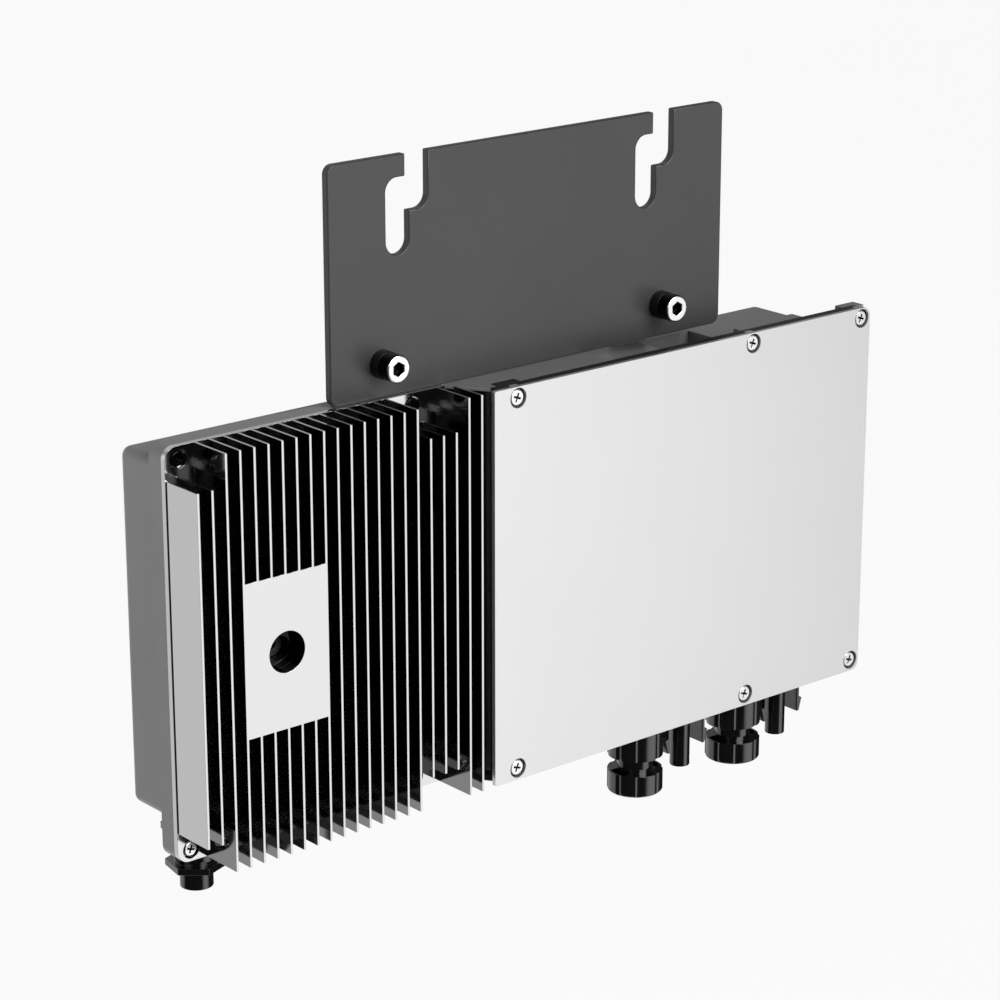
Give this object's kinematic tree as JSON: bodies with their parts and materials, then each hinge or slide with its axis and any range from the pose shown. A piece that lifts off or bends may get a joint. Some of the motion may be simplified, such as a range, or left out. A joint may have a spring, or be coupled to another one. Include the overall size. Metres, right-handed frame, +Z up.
{
  "type": "micro inverter",
  "caption": "Slim module-level solar inverter with a finned heatsink, a flat screwed cover, a slotted hanging bracket and snap-in DC connectors below",
  "frame": {"origin": "midway between the two bolt seats of the hanging slots, on the bracket's rear face", "axes": "+Z up, +Y from the fins and cover towards the rear of the housing, +X to the right seen from the front, from the finned end to the covered end"},
  "size_m": [0.2754, 0.0414, 0.2306],
  "materials": {
    "housing_cast": "fine powder coat over cast aluminium",
    "heatsink_metal": "anodised extruded aluminium",
    "cover_sheet": "satin coated sheet",
    "bracket_sheet": "dark grey satin coat on steel",
    "screw_steel": "bright zinc",
    "black_rubber": "matt",
    "black_polymer": "moulded, semi-gloss",
    "spacer_black": "black oxide",
    "contact_metal": "tin and gold plated",
    "board_green": "solder mask",
    "wire_red": "silicone insulation",
    "wire_brown": "silicone insulation",
    "sheet_tan": "insulating film",
    "chip_black": "moulded epoxy",
    "pad_blue": "soft gap pad",
    "ferrite": "sintered, matt",
    "bobbin_plastic": "moulded",
    "copper_winding": "enamelled copper wire",
    "capacitor_sleeve": "shrink sleeve",
    "film_yellow": "moulded box",
    "choke_green": "coated ferrite",
    "relay_blue": "moulded case",
    "fuse_ceramic": "glazed ceramic"
  },
  "bodies": {
    "inverter": {"rear_housing": "housing_cast", "heatsink": "heatsink_metal", "heatsink_gasket": "black_rubber", "heatsink_screws": "screw_steel", "fill_plug": "black_rubber", "front_panel": "cover_sheet", "panel_gasket": "black_rubber", "panel_screw_seals": "black_rubber", "panel_screws": "screw_steel", "bracket": "bracket_sheet", "bracket_screws": "screw_steel", "bracket_spring_washers": "screw_steel", "bracket_spacers": "spacer_black", "dc_socket_1": "black_polymer", "dc_socket_2": "black_polymer", "dc_socket_sleeve_1": "black_polymer", "dc_socket_sleeve_2": "black_polymer", "dc_socket_contact_1": "contact_metal", "dc_socket_contact_2": "contact_metal", "dc_plug_1": "black_polymer", "dc_plug_2": "black_polymer", "dc_plug_pin_1": "contact_metal", "dc_plug_pin_2": "contact_metal", "dc_seals": "black_rubber", "dc_inner_nuts": "black_polymer", "dc_leads": "wire_red", "ac_receptacle": "black_polymer", "ac_pins": "contact_metal", "ac_seal": "black_rubber", "ac_inner_nut": "black_polymer", "ac_leads": "wire_brown", "main_pcb": "board_green", "pcb_screws": "screw_steel", "insulation_sheet": "sheet_tan", "power_transistors": "chip_black", "thermal_pads": "pad_blue", "transformer_core_1": "ferrite", "transformer_core_2": "ferrite", "transformer_bobbin_1": "bobbin_plastic", "transformer_bobbin_2": "bobbin_plastic", "transformer_winding_1": "copper_winding", "transformer_winding_2": "copper_winding", "input_capacitors": "capacitor_sleeve", "film_capacitors": "film_yellow", "choke_core": "choke_green", "choke_windings": "copper_winding", "grid_relays": "relay_blue", "surge_varistors": "relay_blue", "ac_fuse": "fuse_ceramic", "control_board": "board_green", "control_header": "chip_black", "control_chip": "chip_black"},
    "latch_1_left": {"dc_latch_1_left": "black_polymer"},
    "latch_1_right": {"dc_latch_1_right": "black_polymer"},
    "latch_2_left": {"dc_latch_2_left": "black_polymer"},
    "latch_2_right": {"dc_latch_2_right": "black_polymer"}
  },
  "joints": [
    {"name": "latch_1_left", "type": "hinge", "parent": "inverter", "child": "latch_1_left", "pos_m": [0.06215, -0.00205, -0.1885], "axis": [0, -1, 0], "range_deg": [0, 8], "stiffness_Nm_per_rad": 0.05},
    {"name": "latch_1_right", "type": "hinge", "parent": "inverter", "child": "latch_1_right", "pos_m": [0.07815, -0.00205, -0.1885], "axis": [0, 1, 0], "range_deg": [0, 8], "stiffness_Nm_per_rad": 0.05},
    {"name": "latch_2_left", "type": "hinge", "parent": "inverter", "child": "latch_2_left", "pos_m": [0.10775, -0.00205, -0.1885], "axis": [0, -1, 0], "range_deg": [0, 8], "stiffness_Nm_per_rad": 0.05},
    {"name": "latch_2_right", "type": "hinge", "parent": "inverter", "child": "latch_2_right", "pos_m": [0.12375, -0.00205, -0.1885], "axis": [0, 1, 0], "range_deg": [0, 8], "stiffness_Nm_per_rad": 0.05}
  ]
}
